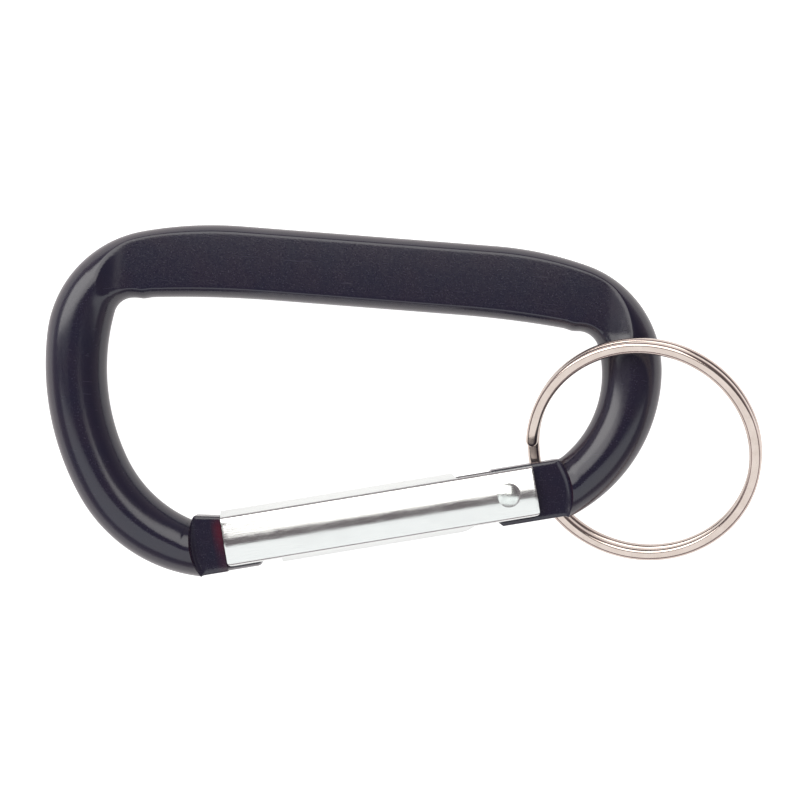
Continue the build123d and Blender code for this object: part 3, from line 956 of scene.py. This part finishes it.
def nickel_plate():
    """Warm nickel plating on the ring's wire: bright, with faint drawing lines and small wear marks."""
    shader = Shader("nickel_plate")
    cloud = shader.noise(0.6, detail=3)
    fine = shader.noise(10.0, detail=5)
    wear = shader.ramp(shader.noise(2.5, detail=3), 0.62, 0.72)
    bright = shader.mix(shader.ramp(cloud, *CLOSE), *NICKELS)
    colour = shader.mix(shader.product(wear, 0.25), bright, WORN_NICKEL)
    shader.bump(fine, 0.003)
    shader.set(Base_Color=colour, Roughness=shader.ramp(fine, *WIDE, 0.06, 0.13), Metallic=1.0)
    return shader.material


def spring_steel():
    """Drawn spring wire: grey, with fine lines and a trace of oil film."""
    shader = Shader("spring_steel")
    lines = shader.noise(12.0, shader.along_gate(), (1, 0.3, 0.3), detail=4)
    film = shader.noise(0.8, detail=3)
    colour = shader.mix(shader.ramp(film, *CLOSE), *SPRING_STEELS)
    shader.bump(lines, 0.004)
    shader.set(Base_Color=colour, Roughness=shader.ramp(lines, *WIDE, 0.22, 0.38), Metallic=1.0)
    return shader.material


def turned_steel():
    """The plunger's turned steel: fine rings round its axis."""
    shader = Shader("turned_steel")
    rings = shader.noise(10.0, shader.along_gate(), (1, 0.08, 0.08), detail=5)
    colour = shader.mix(shader.ramp(rings, *WIDE), *PLUNGER_STEELS)
    shader.bump(rings, 0.006)
    shader.set(Base_Color=colour, Roughness=shader.ramp(rings, *WIDE, 0.2, 0.34), Metallic=1.0)
    return shader.material


# ---- studio ---------------------------------------------------------------------------------------
# The camera's place, its turn about Z, and the width it sees at the part's mid-plane.
EYE = (6.09, 0.48, 300.0)
EYE_TURN = math.radians(4.47)
FIELD_WIDTH = 104.03
LIGHT_HEIGHT = 450.0
WARM_WHITE = (1.0, 0.99, 0.96)
COOL_WHITE = (0.96, 1.0, 1.0)
# Brightness of the surroundings by height: 0 is level with the table and 1 is straight overhead.
WORLD_LEVELS = ((0.0, 0.8), (0.12, 0.38), (0.6, 0.13), (0.97, 0.14), (1.0, 0.16))
WORLD_TINT = (1.0, 0.88, 0.93)
BACKDROP = (0.95, 0.95, 0.95, 1)
TABLE_HALF = 900.0
TABLE_GREY = (0.5, 0.5, 0.5, 1)
# The table's glow on the part, and as the camera sees it.
TABLE_GLOW = (0.6, 1.0)


def softbox(name, lean_x, lean_y, radiance, colour):
    """A softbox over the part, its edges at angles from straight up along X and along Y."""
    left, right, near, far = (LIGHT_HEIGHT * math.tan(math.radians(angle)) for angle in (*lean_x, *lean_y))
    light = bpy.data.lights.new(name, "AREA")
    light.shape = "RECTANGLE"
    light.size = (right - left) * MM
    light.size_y = abs(far - near) * MM
    light.energy = radiance * math.pi * light.size * light.size_y
    light.color = colour
    lamp = bpy.data.objects.new(name, light)
    lamp.location = Vector((EYE[0] + (left + right) / 2, (near + far) / 2, LIGHT_HEIGHT)) * MM
    bpy.context.scene.collection.objects.link(lamp)


def surroundings():
    """The studio round the part: dark overhead where the camera looks in, dim walls, pale near the table."""
    world = bpy.data.worlds.new("studio")
    world.use_nodes = True
    bpy.context.scene.world = world
    nodes, links = world.node_tree.nodes, world.node_tree.links
    parts = nodes.new("ShaderNodeSeparateXYZ")
    links.new(nodes.new("ShaderNodeTexCoord").outputs["Generated"], parts.inputs[0])
    ramp = nodes.new("ShaderNodeValToRGB")
    links.new(parts.outputs[2], ramp.inputs[0])
    while len(ramp.color_ramp.elements) < len(WORLD_LEVELS):
        ramp.color_ramp.elements.new(0.5)
    for element, (place, level) in zip(ramp.color_ramp.elements, WORLD_LEVELS):
        element.position = place
        element.color = (*(level * share for share in WORLD_TINT), 1)
    # The camera itself sees a plain pale backdrop.
    pale = nodes.new("ShaderNodeMix")
    pale.data_type = "RGBA"
    links.new(nodes.new("ShaderNodeLightPath").outputs["Is Camera Ray"], pale.inputs["Factor"])
    links.new(ramp.outputs[0], pale.inputs[6])
    pale.inputs[7].default_value = BACKDROP
    links.new(pale.outputs[2], nodes["Background"].inputs["Color"])


def table_top():
    """A plain pale floor that glows a little, like a light table, so the part throws only faint shadows."""
    level = CAD_BOX[0].z / MM
    corners = [(x * TABLE_HALF, y * TABLE_HALF, level) for x, y in ((-1, -1), (1, -1), (1, 1), (-1, 1))]
    floor = mesh_object("table", corners, [(0, 1, 2, 3)])
    material = bpy.data.materials.new("table_white")
    material.use_nodes = True
    surface = material.node_tree.nodes["Principled BSDF"]
    surface.inputs["Base Color"].default_value = TABLE_GREY
    surface.inputs["Roughness"].default_value = 0.9
    surface.inputs["Specular IOR Level"].default_value = 0.1
    surface.inputs["Emission Color"].default_value = (1, 1, 1, 1)
    nodes, links = material.node_tree.nodes, material.node_tree.links
    glow = nodes.new("ShaderNodeMapRange")
    links.new(nodes.new("ShaderNodeLightPath").outputs["Is Camera Ray"], glow.inputs[0])
    glow.inputs[3].default_value, glow.inputs[4].default_value = TABLE_GLOW
    links.new(glow.outputs[0], surface.inputs["Emission Strength"])
    floor.data.materials.append(material)


def camera():
    """Straight down on the part, turned so that the spine falls away to the right."""
    lens = bpy.data.cameras.new("camera")
    lens.angle = 2 * math.atan(FIELD_WIDTH / 2 / EYE[2])
    lens.clip_start = 0.01
    lens.clip_end = 5.0
    eye = bpy.data.objects.new("camera", lens)
    eye.location = Vector(EYE) * MM
    eye.rotation_euler = (0, 0, EYE_TURN)
    bpy.context.scene.collection.objects.link(eye)
    bpy.context.scene.camera = eye
    bpy.context.scene.view_settings.view_transform = "Standard"


# ---- build ----------------------------------------------------------------------------------------
hook(anodised_black())
gate(rolled_aluminium())
rivet(peened_aluminium())
spring(spring_steel())
split_ring(nickel_plate())
plunger(turned_steel())

softbox("key_softbox", (-30, 16), (7.8, 52), 2.2, WARM_WHITE)
softbox("side_softbox", (-70, -30), (7.8, 56), 3.2, WARM_WHITE)
softbox("fill_softbox", (-60, 60), (-11, -60), 0.95, COOL_WHITE)
surroundings()
table_top()
camera()
